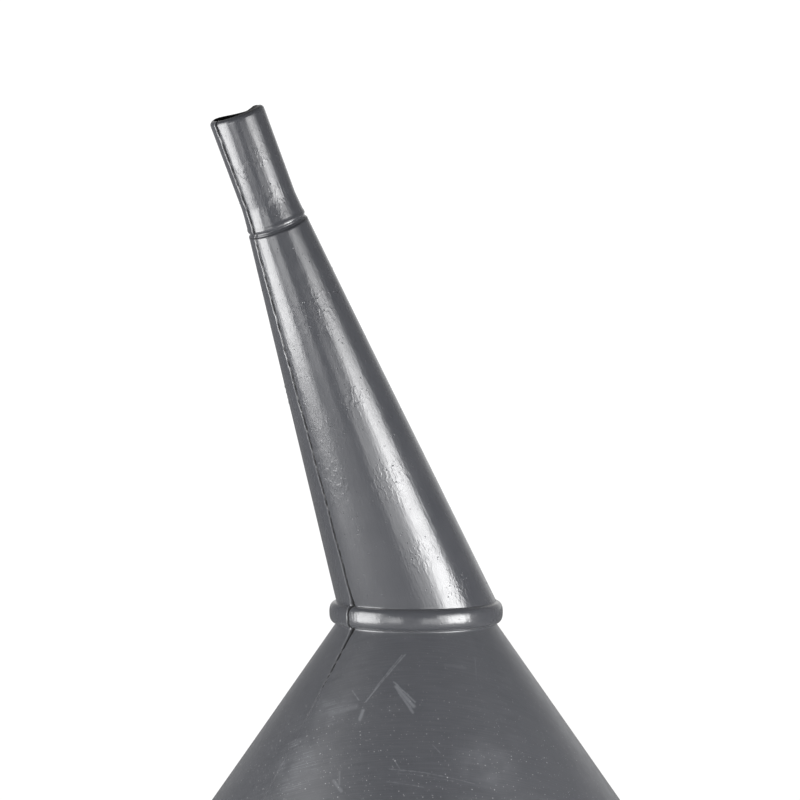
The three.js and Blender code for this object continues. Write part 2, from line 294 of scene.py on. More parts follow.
def outer_rings():
    """The outside from the mouth to the tip's rim: a list of (ring, seam strength, seam width)."""
    shoulder_z = BAND_HEIGHT - 3 * MM
    flange = [
        *arc(bowl_ring, FLANGE_RADIUS - 0.6 * MM, 0.6 * MM, 0.6 * MM, -90, 0, 4),
        *arc(bowl_ring, FLANGE_RADIUS - 0.8 * MM, FLANGE_THICKNESS - 0.8 * MM, 0.8 * MM, 0, 90, 5),
        bowl_ring(BAND_RADIUS + 5 * MM, FLANGE_THICKNESS),
    ]
    fillet = 1.5 * MM
    foot = [
        bowl_ring(BAND_RADIUS + fillet * (1 - math.sin(a)), FLANGE_THICKNESS + fillet * (1 - math.cos(a)))
        for a in np.linspace(0, math.pi / 2, 6)
    ]
    band = ruled(bowl_ring(BAND_RADIUS, 6 * MM), bowl_ring(BAND_RADIUS, shoulder_z - 2 * MM), 5)
    shoulder = arc(bowl_ring, BAND_RADIUS - SHOULDER_RADIUS, shoulder_z, SHOULDER_RADIUS, 0, 35, 7)
    low_cone = [cone_ring(drop) for drop in np.linspace(108 * MM, 32 * MM, 16)]
    high_cone = [cone_ring(drop) for drop in np.linspace(31 * MM, 0.5 * MM, 62)]
    rows = [(r, 0.0, FAINT_LINE_WIDTH) for r in flange + foot + band + shoulder]
    rows += [(r, 0.02 + 0.11 * i / len(low_cone), FAINT_LINE_WIDTH) for i, r in enumerate(low_cone)]
    for r in high_cone:
        drop = NECK_HEIGHT - r[1]
        wedge = fading(drop, 2.2 * MM)
        near_neck = fading(drop, 17 * MM)
        rows.append((r, FAINT_SEAM + 0.95 * near_neck + 0.5 * wedge, 0.32 + 0.16 * near_neck + 0.4 * wedge))
    for r in bead_rings(32):
        from_groove = min(r[1] - NECK_HEIGHT, SPOUT_BASE - r[1])
        wedge = fading(from_groove, 1.3 * MM)
        rows.append((r, 1.1 + 0.5 * wedge, 0.34 + 0.42 * wedge))
    base = bowl_ring(NECK_RADIUS, SPOUT_BASE)
    collar = spout_ring(COLLAR_RADIUS, SPOUT_LENGTH)
    for t, r in zip(np.linspace(0, 1, 190)[:-1], ruled(base, collar, 190)):
        along = t * SPOUT_LENGTH
        near_base = fading(along, 11 * MM)
        wedge = fading(along, 2.2 * MM)
        width = SEAM_LINE_WIDTH + 0.02 * near_base + 0.4 * wedge
        rows.append((r, 0.8 + 0.35 * near_base + 0.5 * wedge, width))
    notch = [spout_ring(COLLAR_RADIUS - cut * MM, SPOUT_LENGTH + past * MM) for cut, past in COLLAR_SIDE]
    notch += [spout_ring(TIP_FLARE_RADIUS - cut * MM, SPOUT_LENGTH + past * MM) for cut, past in TIP_SIDE]
    flare = []
    for t in np.linspace(0.25, 1, 11):
        swell = (TIP_FLARE_RADIUS - TIP_RADIUS) * (1 - t) ** 1.15
        flare.append(spout_ring(TIP_RADIUS + swell, SPOUT_LENGTH + TIP_FLARE_LENGTH * t))
    top = RIM_ALONG - TIP_EDGE
    tube = ruled(flare[-1], spout_ring(TIP_RADIUS, top), 42)[1:]
    edge = arc(spout_ring, TIP_RADIUS - TIP_EDGE, top, TIP_EDGE, 8, 86, 9)
    rows += [(r, 0.9, SEAM_LINE_WIDTH) for r in notch + flare]
    for r in tube:
        near_rim = smooth_step((r[1] - SPOUT_BASE) / SPOUT_AXIS.z, RIM_ALONG - 7 * MM, RIM_ALONG - 4 * MM)
        rows.append((r, 0.85 + 0.3 * near_rim, SEAM_LINE_WIDTH))
    rows += [(r, 1.1, SEAM_LINE_WIDTH) for r in edge]
    return rows


def inner_rings():
    """The inside from the tip's rim down to the mouth."""
    bore = TIP_RADIUS - TIP_EDGE - 0.15 * MM
    across = BOWL_WALL / math.cos(CONE_ANGLE)
    inner_collar = spout_ring(COLLAR_RADIUS - SPOUT_WALL, SPOUT_LENGTH)
    inner_base = bowl_ring(THROAT_RADIUS, SPOUT_BASE + 0.6 * MM)
    rows = [
        spout_ring(bore + 0.05 * MM, RIM_ALONG - 0.04 * MM),
        spout_ring(bore, RIM_ALONG - 0.2 * MM),
        *ruled(spout_ring(bore, RIM_ALONG - 0.6 * MM), spout_ring(bore, SPOUT_LENGTH + TIP_FLARE_LENGTH), 7),
        *ruled(inner_collar, inner_base, 14),
    ]
    middle = NECK_HEIGHT + BEAD_HEIGHT / 2 + 0.3 * MM
    for a in np.radians(np.linspace(80, -80, 9)):
        swell = (BEAD_RADIUS - BOWL_WALL - THROAT_RADIUS) * math.cos(a)
        rows.append(bowl_ring(THROAT_RADIUS + swell, middle + 3.2 * MM * math.sin(a)))
    cone_top = NECK_HEIGHT - (THROAT_RADIUS - NECK_RADIUS + across) / CONE_SLOPE
    rows += [
        bowl_ring(THROAT_RADIUS, NECK_HEIGHT + 0.6 * MM),
        bowl_ring(THROAT_RADIUS, cone_top + 0.4 * MM),
        bowl_ring(THROAT_RADIUS + 0.3 * MM, cone_top - 0.5 * MM),
    ]
    rows += ruled(
        bowl_ring(THROAT_RADIUS + 2 * MM, cone_top - 2 * MM / CONE_SLOPE),
        bowl_ring(NECK_RADIUS - across + (NECK_HEIGHT - BAND_HEIGHT) * CONE_SLOPE, BAND_HEIGHT),
        14,
    )
    wall = BAND_RADIUS - BOWL_WALL
    rows += [
        bowl_ring(wall, BAND_HEIGHT - 3.5 * MM),
        bowl_ring(wall, 6 * MM),
        bowl_ring(wall, 0.8 * MM),
        bowl_ring(wall + 0.25 * MM, 0.25 * MM),
        bowl_ring(wall + 0.8 * MM, 0),
    ]
    return rows


def rim_rise(angles):
    """The tip is trimmed by hand: the cut dips behind, and is a little low beside the rear seam."""
    turned = np.degrees(np.arctan2(np.sin(angles), np.cos(angles)))
    dip = smooth_step(turned, -6, 34) * (1 - smooth_step(turned, 36, 125))
    low = np.exp(-(((turned + 10) / 26) ** 2))
    return -RIM_DIP * dip - RIM_SAG * low


def lumps(path, angles, radius):
    """A blown moulding is never quite true: its wall waves gently round and along."""
    slow = 0.05 * MM * np.sin(2 * angles + path / (31 * MM))
    quick = 0.03 * MM * np.sin(3 * angles - path / (17 * MM) + 1)
    return (slow + quick) * min(1, radius / (12 * MM))


def funnel_moulding():
    """The whole moulding as one closed shell, with the seam pressed into it and the hanging hole cut.

    Its attributes are seam (crack above 0, lip below 0), bore (inside the tip) and spots (where specks grow).
    The material paints shade into the crack and the bore, and a highlight on the lip.
    """
    outer = outer_rings()
    inner = inner_rings()
    columns = 2 * len(SEAM_COLUMNS) + 2 * PLAIN_COLUMNS
    steps = [
        math.hypot((a[0] - a[2]) - (b[0] - b[2]), (a[1] - a[3]) - (b[1] - b[3]))
        for (a, _, _), (b, _, _) in zip(outer, outer[1:])
    ]
    path = np.concatenate([[0], np.cumsum(steps)])
    breaks = [
        0.5 + 0.4 * smooth_noise(path, 0.85 * MM, seed) + 0.14 * smooth_noise(path, 8 * MM, seed + 6)
        for seed in (3, 4)
    ]
    drift = [smooth_noise(path, 9 * MM, seed) * 0.18 * MM for seed in (5, 6)]
    jitter = [smooth_noise(path, 1.5 * MM, seed) * 0.1 * MM for seed in (7, 8)]
    points, seams, bore_shade, spots = [], [], [], []
    rows = [(r, s, w, i) for i, (r, s, w) in enumerate(outer)] + [(r, 0, 0, None) for r in inner]
    for shape, strength, width, i in rows:
        cx, cz, ux, uz, ry = shape
        wander = (0, 0) if i is None else (drift[0][i] + jitter[0][i], drift[1][i] + jitter[1][i])
        angles = column_angles(ry, wander)
        press = np.zeros(columns)
        seam = np.zeros(columns)
        if i is not None:
            crack, lips = seam_section(width * MM)
            for start, side in ((0, 0), (len(SEAM_COLUMNS) + PLAIN_COLUMNS, 1)):
                dashed = 0.4 + 0.7 * smooth_step(breaks[side][i], 0.36, 0.56)
                local = strength * (dashed if strength < 1 else 1)
                press[start:start + len(SEAM_COLUMNS)] = SEAM_DEPTH * local * (crack - LIP_SHARE * lips)
                seam[start:start + len(SEAM_COLUMNS)] = min(1, local) * (crack - lips)
            press += lumps(path[i], angles, ry)
        reach = 1 - press / ry
        x = cx + ux * np.cos(angles) * reach
        y = ry * np.sin(angles) * reach
        z = cz + uz * np.cos(angles) * reach
        along = cx * SPOUT_AXIS.x + (cz - SPOUT_BASE) * SPOUT_AXIS.z
        rise = rim_rise(angles) * np.clip((along - RIM_ALONG + RIM_REACH) / RIM_REACH, 0, 1) ** 2
        points.append(np.stack([x + rise * SPOUT_AXIS.x, y, z + rise * SPOUT_AXIS.z], axis=1))
        seams.append(seam)
        # Inside the tip, where the material paints shade into the bore.
        inside_tip = i is None and SPOUT_LENGTH < along < RIM_ALONG - 0.1 * MM
        bore_shade.append(np.full(columns, 1.0 if inside_tip else 0.0))
        spotty = i is not None and 1.5 * MM < along < RIM_ALONG - 2 * MM
        spots.append(np.full(columns, 1.0 if spotty else 0.0))
    piece = new_piece("funnel_moulding", np.concatenate(points), shell_faces(len(rows), columns))
    for name, values in (("seam", seams), ("bore", bore_shade), ("spots", spots)):
        attribute = piece.data.attributes.new(name, "FLOAT", "POINT")
        attribute.data.foreach_set("value", np.concatenate(values).astype(np.float32))
    hole_x = (FLANGE_RADIUS + BAND_RADIUS + 1.2 * MM) / 2
    radius, foot, top = HANGING_HOLE_RADIUS / MM, -5, 8
    hole = turned_solid("hanging_hole", [(0, foot), (radius, foot), (radius, top), (0, top)], 40, hole_x)
    combine(piece, hole, "DIFFERENCE")
    return piece


# ---------------------------------------------------------------- turned and swept pieces


def rounded(corners, radius, steps=4):
    """A closed outline with its corners eased by curves of about the given radius."""
    points = []
    for i, corner in enumerate(corners):
        corner = np.array(corner, float)
        back = np.array(corners[i - 1], float) - corner
        ahead = np.array(corners[(i + 1) % len(corners)], float) - corner
        start = corner + back * min(0.45, radius / np.linalg.norm(back))
        end = corner + ahead * min(0.45, radius / np.linalg.norm(ahead))
        for t in np.linspace(0, 1, steps + 1):
            points.append((1 - t) ** 2 * start + 2 * t * (1 - t) * corner + t * t * end)
    return points


def turned_ring(name, outline, segments=144):
    """A closed outline of (radius, height) points, listed upwards on the outside, turned about Z."""
    angles = np.linspace(0, 2 * math.pi, segments, endpoint=False)
    vertices = [(r * math.cos(a), r * math.sin(a), z) for r, z in outline for a in angles]
    return new_piece(name, vertices, shell_faces(len(outline), segments))


def turned_solid(name, outline, segments, x=0.0, y=0.0):
    """An outline in millimetres that starts and ends on the axis, turned about a line parallel to Z."""
    angles = np.linspace(0, 2 * math.pi, segments, endpoint=False)
    middle = outline[1:-1]
    vertices = [
        (x + r * MM * math.cos(a), y + r * MM * math.sin(a), z * MM)
        for r, z in middle for a in angles
    ]
    vertices += [(x, y, outline[0][1] * MM), (x, y, outline[-1][1] * MM)]
    faces = shell_faces(len(middle), segments, closed=False)
    low, high, last = len(vertices) - 2, len(vertices) - 1, (len(middle) - 1) * segments
    for j in range(segments):
        k = (j + 1) % segments
        faces.append((low, k, j))
        faces.append((high, last + j, last + k))
    return new_piece(name, vertices, faces)


def prism(name, outline, start, end, place):
    """A closed outline pushed from start to end, with each of its points placed by a function."""
    rows = [[place(u, v, w) for u, v in outline] for w in (start, end)]
    faces = shell_faces(2, len(outline), closed=False)
    faces.append(tuple(range(len(outline)))[::-1])
    faces.append(tuple(range(len(outline), 2 * len(outline))))
    return new_piece(name, rows[0] + rows[1], faces)


# ---------------------------------------------------------------- node trees


class Nodes:
    """A short way to write a node tree: a new material's, or a tree that is given."""

    def __init__(self, name, tree=None):
        if tree is None:
            self.material = bpy.data.materials.new(name)
            self.material.use_nodes = True
            self.tree = self.material.node_tree
            self.shader = self.tree.nodes["Principled BSDF"]
            self.place = self.add("ShaderNodeTexCoord").outputs["Object"]
        else:
            self.tree = tree

    def add(self, kind, inputs=None, **settings):
        node = self.tree.nodes.new(kind)
        for key, value in settings.items():
            setattr(node, key, value)
        for key, value in (inputs or {}).items():
            self.put(node.inputs[key], value)
        return node

    def put(self, socket, value):
        if isinstance(value, bpy.types.NodeSocket):
            self.tree.links.new(value, socket)
        else:
            socket.default_value = value

    def math(self, operation, first, second=0.0, third=0.0, clamp=False):
        inputs = {0: first, 1: second, 2: third}
        return self.add("ShaderNodeMath", inputs, operation=operation, use_clamp=clamp).outputs[0]

    def vector(self, operation, first, second=(0, 0, 0), output="Vector"):
        return self.add("ShaderNodeVectorMath", {0: first, 1: second}, operation=operation).outputs[output]

    def split(self, value):
        return self.add("ShaderNodeSeparateXYZ", {"Vector": value}).outputs

    def join(self, x=0.0, y=0.0, z=0.0):
        return self.add("ShaderNodeCombineXYZ", {"X": x, "Y": y, "Z": z}).outputs["Vector"]

    def noise(self, scale, detail=2.0, roughness=0.5, place=None):
        inputs = {"Vector": place or self.place, "Scale": scale, "Detail": detail, "Roughness": roughness}
        return self.add("ShaderNodeTexNoise", inputs).outputs["Fac"]

    def remap(self, value, low, high, to_low=0.0, to_high=1.0, kind="SMOOTHSTEP"):
        inputs = {"Value": value, "From Min": low, "From Max": high, "To Min": to_low, "To Max": to_high}
        return self.add("ShaderNodeMapRange", inputs, interpolation_type=kind).outputs["Result"]

    def turned(self, location, rotation=0.0, scale=(1, 1, 1), place=None):
        """Coordinates seen from a place that is moved, turned about Z and scaled."""
        turn = (0, 0, rotation)
        inputs = {"Vector": place or self.place, "Location": location, "Rotation": turn, "Scale": scale}
        return self.add("ShaderNodeMapping", inputs, vector_type="TEXTURE").outputs["Vector"]

    def mix(self, share, first, second):
        node = self.add("ShaderNodeMix", data_type="RGBA")
        self.put(node.inputs[0], share)
        self.put(node.inputs[6], first)
        self.put(node.inputs[7], second)
        return node.outputs[2]

    def attribute(self, name):
        return self.add("ShaderNodeAttribute", attribute_name=name).outputs["Fac"]

    def bump(self, height, strength, distance, normal=None):
        inputs = {"Height": height, "Strength": strength, "Distance": distance}
        if normal is not None:
            inputs["Normal"] = normal
        return self.add("ShaderNodeBump", inputs).outputs["Normal"]

    def link(self, output, node, socket):
        self.tree.links.new(output, node.inputs[socket])


def growing_tree(name, inputs):
    """A Geometry Nodes tree with named inputs: its nodes, and the outputs that they start from."""
    tree = bpy.data.node_groups.new(name, "GeometryNodeTree")
    tree.interface.new_socket("Geometry", in_out="INPUT", socket_type="NodeSocketGeometry")
    for label, kind in inputs.items():
        tree.interface.new_socket(label, in_out="INPUT", socket_type=kind)
    tree.interface.new_socket("Geometry", in_out="OUTPUT", socket_type="NodeSocketGeometry")
    n = Nodes(None, tree)
    return n, n.add("NodeGroupInput").outputs


def end_tree(n, geometry, material):
    """Ends a tree in Realize Instances and Set Material."""
    real = n.add("GeometryNodeRealizeInstances", {"Geometry": geometry}).outputs["Geometry"]
    finished = n.add("GeometryNodeSetMaterial", {"Geometry": real, "Material": material})
    n.link(finished.outputs["Geometry"], n.add("NodeGroupOutput"), "Geometry")


def grow(piece, tree, values):
    """Runs a tree on the piece with its inputs set by identifier, and keeps the plain mesh."""
    modifier = piece.modifiers.new(tree.name, "NODES")
    modifier.node_group = tree
    for item in tree.interface.items_tree:
        if item.in_out == "INPUT" and item.name in values:
            modifier[item.identifier] = values[item.name]
    return settle(piece)


def round_tree(name, material):
    """Repeats a shape round Z, evenly."""
    n, given = growing_tree(name, {"Count": "NodeSocketInt"})
    places = n.add("GeometryNodeMeshLine", {"Count": given["Count"], "Offset": (0, 0, 0)}, mode="OFFSET")
    inputs = {"Points": places.outputs[0], "Instance": given["Geometry"]}
    copies = n.add("GeometryNodeInstanceOnPoints", inputs)
    step = n.math("DIVIDE", 2 * math.pi, given["Count"])
    turn = n.math("MULTIPLY", n.add("GeometryNodeInputIndex").outputs[0], step)
    inputs = {"Instances": copies.outputs[0], "Rotation": n.join(z=turn)}
    end_tree(n, n.add("GeometryNodeRotateInstances", inputs).outputs[0], material)
    return n.tree


def gauze_tree(material):
    """Plain-woven wire: two sets of wires that pass over and under each other in turn, cut to a disc."""
    number, whole = "NodeSocketFloat", "NodeSocketInt"
    n, given = growing_tree("woven_gauze", {
        "Radius": number, "Pitch": number, "Wire radius": number, "Wave": number, "Height": number,
        "Wires": whole, "Wire points": whole,
    })
    half_wires = n.math("MULTIPLY", n.math("SUBTRACT", given["Wires"], 1.0), 0.5)
    reach = n.math("MULTIPLY", half_wires, given["Pitch"])
    back = n.math("MULTIPLY", reach, -1.0)
    line = n.add("GeometryNodeCurvePrimitiveLine", {"Start": n.join(x=back), "End": n.join(x=reach)})
    wire = n.add("GeometryNodeResampleCurve", {"Curve": line.outputs[0], "Count": given["Wire points"]})
    inputs = {"Count": given["Wires"], "Start Location": n.join(y=back), "Offset": n.join(y=given["Pitch"])}
    places = n.add("GeometryNodeMeshLine", inputs, mode="OFFSET")
    laid = n.add("GeometryNodeInstanceOnPoints", {"Points": places.outputs[0], "Instance": wire.outputs[0]})
    warp = n.add("GeometryNodeRealizeInstances", {"Geometry": laid.outputs[0]}).outputs[0]
    position = n.split(n.add("GeometryNodeInputPosition").outputs[0])
    turn = n.math("DIVIDE", math.pi, given["Pitch"])
    waves = [n.math("COSINE", n.math("MULTIPLY", position[axis], turn)) for axis in ("X", "Y")]
    lift = n.math("MULTIPLY", n.math("MULTIPLY", waves[0], waves[1]), given["Wave"])
    warp = n.add("GeometryNodeSetPosition", {"Geometry": warp, "Offset": n.join(z=lift)}).outputs[0]
    inputs = {"Geometry": warp, "Rotation": (math.pi, 0, math.pi / 2)}
    turned = n.add("GeometryNodeTransform", inputs).outputs[0]
    both = n.add("GeometryNodeJoinGeometry")
    n.link(warp, both, 0)
    n.link(turned, both, 0)
    from_axis = n.vector("LENGTH", n.join(x=position["X"], y=position["Y"]), output="Value")
    outside = n.math("GREATER_THAN", from_axis, given["Radius"])
    inputs = {"Geometry": both.outputs[0], "Selection": outside}
    cut = n.add("GeometryNodeDeleteGeometry", inputs, domain="POINT")
    section = n.add("GeometryNodeCurvePrimitiveCircle", {"Resolution": 5, "Radius": given["Wire radius"]})
    inputs = {"Curve": cut.outputs[0], "Profile Curve": section.outputs[0], "Fill Caps": True}
    drawn = n.add("GeometryNodeCurveToMesh", inputs).outputs[0]
    inputs = {"Geometry": drawn, "Offset": n.join(z=given["Height"])}
    end_tree(n, n.add("GeometryNodeSetPosition", inputs).outputs[0], material)
    return n.tree


def speck_tree(material):
    """Moulding specks: low grains sunk in the surface, thick in some patches and thin in others."""
    number, whole = "NodeSocketFloat", "NodeSocketInt"
    n, given = growing_tree("moulding_specks", {
        "Density": number, "Patch size": number, "Smallest": number, "Largest": number, "Seed": whole,
    })
    place = n.add("GeometryNodeInputPosition").outputs[0]
    shifted = n.vector("ADD", place, (0.02, 0, 0.05))
    cloudy = n.noise(n.math("DIVIDE", 1.0, given["Patch size"]), 1, 0.5, shifted)
    patches = n.remap(cloudy, 0.42, 0.68, 0.15, 0.8)
    wanted = n.add("GeometryNodeInputNamedAttribute", {"Name": "spots"}, data_type="FLOAT").outputs[0]
    density = n.math("MULTIPLY", n.math("MULTIPLY", patches, wanted), given["Density"])
    inputs = {"Mesh": given["Geometry"], "Density": density, "Seed": given["Seed"]}
    scattered = n.add("GeometryNodeDistributePointsOnFaces", inputs)
    grain = n.add("GeometryNodeMeshUVSphere", {"Segments": 7, "Rings": 3, "Radius": 1.0})
    low_grain = n.add("GeometryNodeTransform", {"Geometry": grain.outputs[0], "Scale": (1, 1, 0.55)})
    inputs = {"Min": 0.0, "Max": 1.0, "Seed": given["Seed"]}
    lot = n.add("FunctionNodeRandomValue", inputs, data_type="FLOAT").outputs[1]
    spread = n.math("SUBTRACT", given["Largest"], given["Smallest"])
    size = n.math("MULTIPLY_ADD", n.math("POWER", lot, 2.5), spread, given["Smallest"])
    inputs = {
        "Points": scattered.outputs["Points"], "Instance": low_grain.outputs[0],
        "Rotation": scattered.outputs["Rotation"], "Scale": size,
    }
    grains = n.add("GeometryNodeInstanceOnPoints", inputs).outputs[0]
    real = n.add("GeometryNodeRealizeInstances", {"Geometry": grains}).outputs[0]
    smooth = n.add("GeometryNodeSetShadeSmooth", {"Geometry": real}).outputs[0]
    both = n.add("GeometryNodeJoinGeometry")
    n.link(smooth, both, 0)
    n.link(given["Geometry"], both, 0)
    end_tree(n, both.outputs[0], material)
    return n.tree


# ---------------------------------------------------------------- finishes


GREY = (0.0322, 0.0335, 0.038, 1)
GREY_MOTTLE = (0.046, 0.047, 0.0515, 1)
# Lighter grey on the seam's raised lip: a painted highlight along the seam.
LIP_HIGHLIGHT = (0.13, 0.132, 0.138, 1)
# Near black painted shade for the seam's crack and the inside of the tip.
PAINTED_SHADE = (0.0015, 0.0015, 0.002, 1)
# Paler grey for the real scuffs and wipe marks on the cone, also used for painted reflections of the softboxes
# there.
SCUFF_AND_REFLECTION = (0.115, 0.12, 0.13, 1)
DUST = (0.42, 0.42, 0.43, 1)

# How rough the skin is everywhere, and in patches of the spout: distance along it (mm), turn (degrees),
# reach (mm) and strength.
LIGHT_GRIT = 0.12
GRITTY_PATCHES = [
    (62, -164, 13, 0.8),
    (78, -150, 11, 0.5),
    (88, -116, 9, 0.8),
    (56, -112, 12, 0.9),
    (26, -108, 10, 0.9),
    (8, -92, 9, 0.8),
    (124, -112, 13, 0.6),
    (166, -116, 10, 0.85),
    (182, -112, 7, 0.8),
    (178, -156, 5, 0.9),
]

# The side of the bowl that carries the handling marks, turned about Z from -Y.
MARKED_SIDE = math.radians(-39.87)

# Handling marks on the cone, in degrees from the middle of the marked side and millimetres below the neck:
# start, end, width in millimetres, strength.
HANDLING_MARKS = [
    ((-22.7, 23.6), (-6, 7.3), 0.5, 0.4),
    ((-20.1, 19.6), (-8.4, 7.8), 0.5, 0.36),
    ((-11.1, 16.7), (-0.6, 23.2), 0.7, 0.44),
    ((-9.6, 18.3), (-1.0, 24.6), 1.5, 0.47),
    ((-10.2, 18.2), (-1.4, 26.6), 1.1, 0.39),
    ((-23.3, 29.6), (-22.9, 26.6), 1.5, 0.44),
    ((-31.3, 20.4), (-26.1, 23.5), 0.4, 0.39),
    ((-38, 28.9), (-27, 25.5), 2.6, 0.21),
    ((-8.9, 44.8), (2.3, 45.7), 0.45, 0.34),
    ((2.3, 45.7), (18.3, 49.7), 0.45, 0.29),
    ((-6, 46), (12, 48.6), 0.3, 0.21),
    ((-9.2, 48.7), (2.3, 50.3), 0.4, 0.26),
    ((35.8, 9.3), (31.7, 16.4), 0.5, 0.18),
    ((-26.7, 49.5), (-23.1, 52.6), 1.3, 0.31),
    ((-25.6, 46.5), (-24.4, 50.5), 0.9, 0.26),
    ((-7.8, 41.5), (-5.4, 44.6), 0.4, 0.31),
    ((5.9, 37), (8.5, 39.6), 0.4, 0.29),
    ((16.1, 11.1), (27.2, 12.5), 1.6, 0.13),
]


def cone_flat(turn, drop):
    """Where a place lies on the unrolled cone, from degrees round the marked side and mm below the neck."""
    radius = (NECK_RADIUS + drop * MM * CONE_SLOPE) / math.sin(CONE_ANGLE)
    angle = math.radians(turn) * math.sin(CONE_ANGLE)
    return Vector((radius * math.sin(angle), radius * math.cos(angle), 0))


def unrolled_cone(n):
    """Coordinates on the unrolled cone, worked out from the place on the piece."""
    facing = n.split(n.turned((0, 0, 0), MARKED_SIDE - math.pi / 2))
    from_axis = n.vector("LENGTH", n.join(facing["X"], facing["Y"]), output="Value")
    angle = n.math("MULTIPLY", n.math("ARCTAN2", facing["Y"], facing["X"]), math.sin(CONE_ANGLE))
    radius = n.math("DIVIDE", from_axis, math.sin(CONE_ANGLE))
    across = n.math("MULTIPLY", radius, n.math("SINE", angle))
    return n.join(across, n.math("MULTIPLY", radius, n.math("COSINE", angle)))


def handling_marks(n, flat):
    """The scuffs: soft ragged strokes on the unrolled cone."""
    rag = n.remap(n.noise(800, 3), 0.3, 0.7, -0.14 * MM, 0.18 * MM, "LINEAR")
    total = None
    for start, end, width, strength in HANDLING_MARKS:
        first, last = cone_flat(*start), cone_flat(*end)
        run = last - first
        local = n.turned((first + last) / 2, math.atan2(run.y, run.x), place=flat)
        beyond = n.vector("SUBTRACT", n.vector("ABSOLUTE", local), (run.length / 2, 0, 0))
        past = n.vector("MAXIMUM", beyond)
        away = n.math("ADD", n.vector("LENGTH", past, output="Value"), rag)
        mark = n.remap(away, 0.1 * width * MM, 0.75 * width * MM, strength, 0.0)
        total = mark if total is None else n.math("MAXIMUM", total, mark)
    return total


def wipes_and_reflections(n, flat):
    """Pale patches on the cone: painted reflections of the softboxes, two of them with real fine lines round
    the cone where it has been wiped, over a faint wiped grain all over.
    """
    lines = n.noise(1, 3, 0.6, n.turned((0, 0, 0), 0, (14 * MM, 0.45 * MM, 14 * MM), flat))
    clouds = n.remap(n.noise(150, 3), 0.38, 0.62)
    wiped = n.math("MULTIPLY", n.remap(lines, 0.42, 0.68), clouds)
    total = n.math("MULTIPLY", n.remap(lines, 0.35, 0.7), 0.09)
    # Each patch: degrees round the marked side, mm below the neck, width and height in mm, texture and share.
    # Where they sit and their cloudy brightness are painted reflections of the softboxes; the fine lines are
    # real wipe marks.
    patches = [
        (-39, 27, 13, 9, wiped, 0.35),
        (-43, 46, 14, 15, wiped, 0.42),
        (24, 45, 15, 12, clouds, 0.1),
    ]
    for turn, drop, wide, tall, texture, share in patches:
        local = n.turned(cone_flat(turn, drop), 0, (wide * MM, tall * MM, 1), flat)
        patch = n.remap(n.vector("LENGTH", local, output="Value"), 0.3, 1.0, 1.0, 0.0)
        shown = n.math("MULTIPLY_ADD", texture, share, 0.05)
        total = n.math("MULTIPLY_ADD", patch, shown, total)
    return total


def dust(n, scale, size):
    """Specks of dust: small round dots where points scattered in space come close to the surface."""
    spots = n.add("ShaderNodeTexVoronoi", {"Vector": n.place, "Scale": scale, "Randomness": 1.0})
    lot = n.split(spots.outputs["Color"])["X"]
    away = n.math("ADD", spots.outputs["Distance"], n.math("MULTIPLY", lot, size * scale * 0.6))
    return n.remap(away, size * scale * 0.5, size * scale, 1.0, 0.0)


def near_skin(along, turn):
    """A place close to the spout's skin, from mm along its axis and degrees round it."""
    radius = float(np.interp(along, [0, SPOUT_LENGTH / MM], [29, 11])) * MM
    angle = math.radians(turn)
    up_slope = Vector((math.cos(LEAN), 0, math.sin(LEAN)))
    out = up_slope * math.cos(angle) + Vector((0, math.sin(angle), 0))
    return Vector((0, 0, SPOUT_BASE)) + SPOUT_AXIS * along * MM + out * radius


def gritty_patches(n):
    """Where the mould left the skin rough: a light grit all over, and coarser patches along the spout."""
    total = LIGHT_GRIT
    for along, turn, size, strength in GRITTY_PATCHES:
        away = n.vector("DISTANCE", n.place, near_skin(along, turn), "Value")
        total = n.math("MAXIMUM", total, n.remap(away, 0.3 * size * MM, size * MM, strength, LIGHT_GRIT))
    return total


def along_spout(n, stretch):
    """Coordinates drawn out along the spout's lean."""
    inputs = {"Vector": n.place, "Rotation": (0, -LEAN, 0), "Scale": (1, 1, stretch)}
    return n.add("ShaderNodeMapping", inputs, vector_type="TEXTURE").outputs["Vector"]


def moulded_skin(n, off_cone):
    """The bump of the moulded skin: a soft peel, then on the spout grit, pits and flow lines."""
    patches = gritty_patches(n)
    grit = n.math("MULTIPLY", n.remap(n.noise(900, 1, 0.5, along_spout(n, 2)), 0.48, 0.66), patches)
    grit = n.math("MULTIPLY", grit, n.math("MULTIPLY_ADD", off_cone, 0.7, 0.3))
    pits = n.math("MULTIPLY", dust(n, 450, 0.42 * MM), n.math("ADD", patches, 0.2))
    pits = n.math("MULTIPLY", pits, off_cone)
    flow = n.math("MULTIPLY", n.noise(1000, 1, 0.45, along_spout(n, 9)), off_cone)
    peel = n.bump(n.noise(420, 2), 0.3, 0.05 * MM)
    gritty = n.bump(grit, 0.6, 0.075 * MM, peel)
    pitted = n.bump(n.math("MULTIPLY", pits, -1.0), 0.8, 0.16 * MM, gritty)
    return n.bump(flow, 0.7, 0.07 * MM, pitted)


